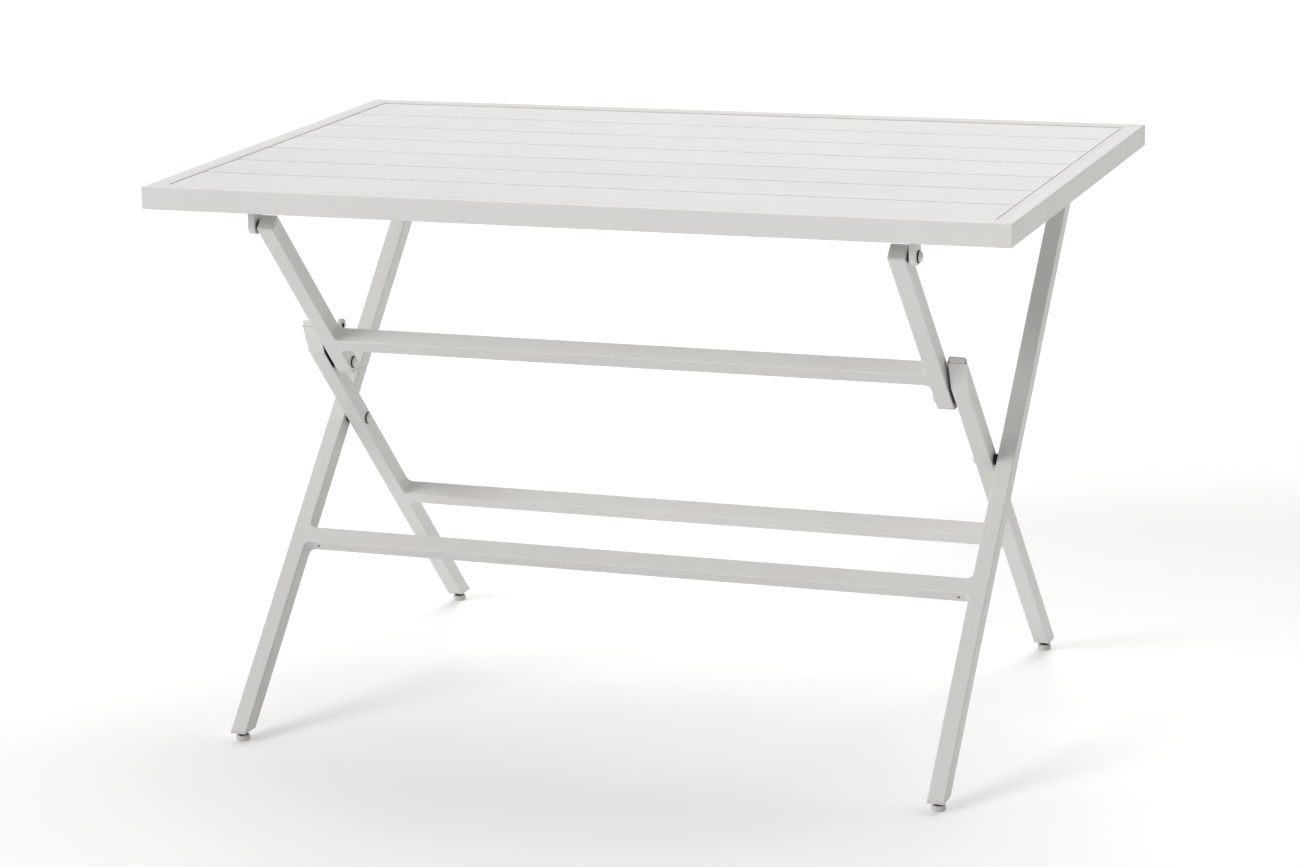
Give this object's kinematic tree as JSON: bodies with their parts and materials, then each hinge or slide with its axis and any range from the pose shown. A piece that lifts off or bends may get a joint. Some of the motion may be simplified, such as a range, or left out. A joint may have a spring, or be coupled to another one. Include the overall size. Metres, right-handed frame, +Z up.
{
  "type": "folding picnic table",
  "caption": "Folding table with a slatted, powder-coated aluminium top on crossed square-tube leg frames, knee arms that lock it open, and screw-in levelling feet",
  "frame": {"origin": "on the ground, under the middle of the table top", "axes": "+X along the table's length, +Y from the front edge to the rear edge, +Z up"},
  "size_m": [1.1, 0.7042, 0.712],
  "materials": {
    "frame_coat": "satin",
    "slat_coat": "satin",
    "rivet_coat": "satin",
    "end_plug": "matte",
    "black_plastic": "matte",
    "glide_plastic": "matte"
  },
  "bodies": {
    "tabletop": {"bracket_front_left": "frame_coat", "bracket_front_right": "frame_coat", "bracket_rear_left": "frame_coat", "bracket_rear_right": "frame_coat", "rail_front": "frame_coat", "rail_left": "frame_coat", "rail_rear": "frame_coat", "rail_right": "frame_coat", "rivet_front_left": "rivet_coat", "rivet_front_right": "rivet_coat", "rivet_rear_left": "rivet_coat", "rivet_rear_right": "rivet_coat", "slat_1": "slat_coat", "slat_2": "slat_coat", "slat_3": "slat_coat", "slat_4": "slat_coat", "slat_5": "slat_coat", "slat_6": "slat_coat", "slat_7": "slat_coat", "slat_support_left": "frame_coat", "slat_support_right": "frame_coat", "spacer_front_left": "black_plastic", "spacer_front_right": "black_plastic", "spacer_rear_left": "black_plastic", "spacer_rear_right": "black_plastic"},
    "front_foot_frame": {"foot_plug_front_left": "end_plug", "foot_plug_front_right": "end_plug", "front_foot_leg_left": "frame_coat", "front_foot_leg_right": "frame_coat", "front_foot_stretcher": "frame_coat", "leg_top_plug_left": "end_plug", "leg_top_plug_right": "end_plug"},
    "rear_foot_frame": {"foot_plug_rear_left": "end_plug", "foot_plug_rear_right": "end_plug", "rear_foot_leg_left": "frame_coat", "rear_foot_leg_right": "frame_coat", "rear_foot_stretcher": "frame_coat", "rear_leg_top_plug_left": "end_plug", "rear_leg_top_plug_right": "end_plug", "rivet_scissor_left": "rivet_coat", "rivet_scissor_right": "rivet_coat", "spacer_scissor_left": "black_plastic", "spacer_scissor_right": "black_plastic"},
    "knee_arms": {"arm_lower_plug_left": "end_plug", "arm_lower_plug_right": "end_plug", "arm_stretcher": "frame_coat", "arm_top_plug_left": "end_plug", "arm_top_plug_right": "end_plug", "catch_lug_left": "frame_coat", "catch_lug_right": "frame_coat", "knee_arm_left": "frame_coat", "knee_arm_right": "frame_coat", "rivet_knee_left": "rivet_coat", "rivet_knee_right": "rivet_coat", "spacer_knee_left": "black_plastic", "spacer_knee_right": "black_plastic"},
    "glide_front_left": {"glide_front_left": "glide_plastic"},
    "glide_front_right": {"glide_front_right": "glide_plastic"},
    "glide_rear_left": {"glide_rear_left": "glide_plastic"},
    "glide_rear_right": {"glide_rear_right": "glide_plastic"}
  },
  "joints": [
    {"name": "rear_top_hinge", "type": "hinge", "parent": "tabletop", "child": "front_foot_frame", "pos_m": [0, 0.306, 0.659], "axis": [1, 0, 0], "range_deg": [-37.64, 0]},
    {"name": "leg_scissor", "type": "hinge", "parent": "front_foot_frame", "child": "rear_foot_frame", "pos_m": [0, -0.008, 0.344], "axis": [1, 0, 0], "range_deg": [-80.1, 0]},
    {"name": "front_top_hinge", "type": "hinge", "parent": "tabletop", "child": "knee_arms", "pos_m": [0, -0.299, 0.659], "axis": [1, 0, 0], "range_deg": [0, 42.95]},
    {"name": "glide_front_left_screw", "type": "slide", "parent": "front_foot_frame", "child": "glide_front_left", "axis": [0, 0, 1], "range_m": [-0.004, 0.003]},
    {"name": "glide_front_right_screw", "type": "slide", "parent": "front_foot_frame", "child": "glide_front_right", "axis": [0, 0, 1], "range_m": [-0.004, 0.003]},
    {"name": "glide_rear_left_screw", "type": "slide", "parent": "rear_foot_frame", "child": "glide_rear_left", "axis": [0, 0, 1], "range_m": [-0.004, 0.003]},
    {"name": "glide_rear_right_screw", "type": "slide", "parent": "rear_foot_frame", "child": "glide_rear_right", "axis": [0, 0, 1], "range_m": [-0.004, 0.003]}
  ],
  "couplings": [
    {"joint": "leg_scissor", "follows": "rear_top_hinge", "ratio": 2.1254},
    {"joint": "front_top_hinge", "follows": "rear_top_hinge", "ratio": -1.1383}
  ]
}
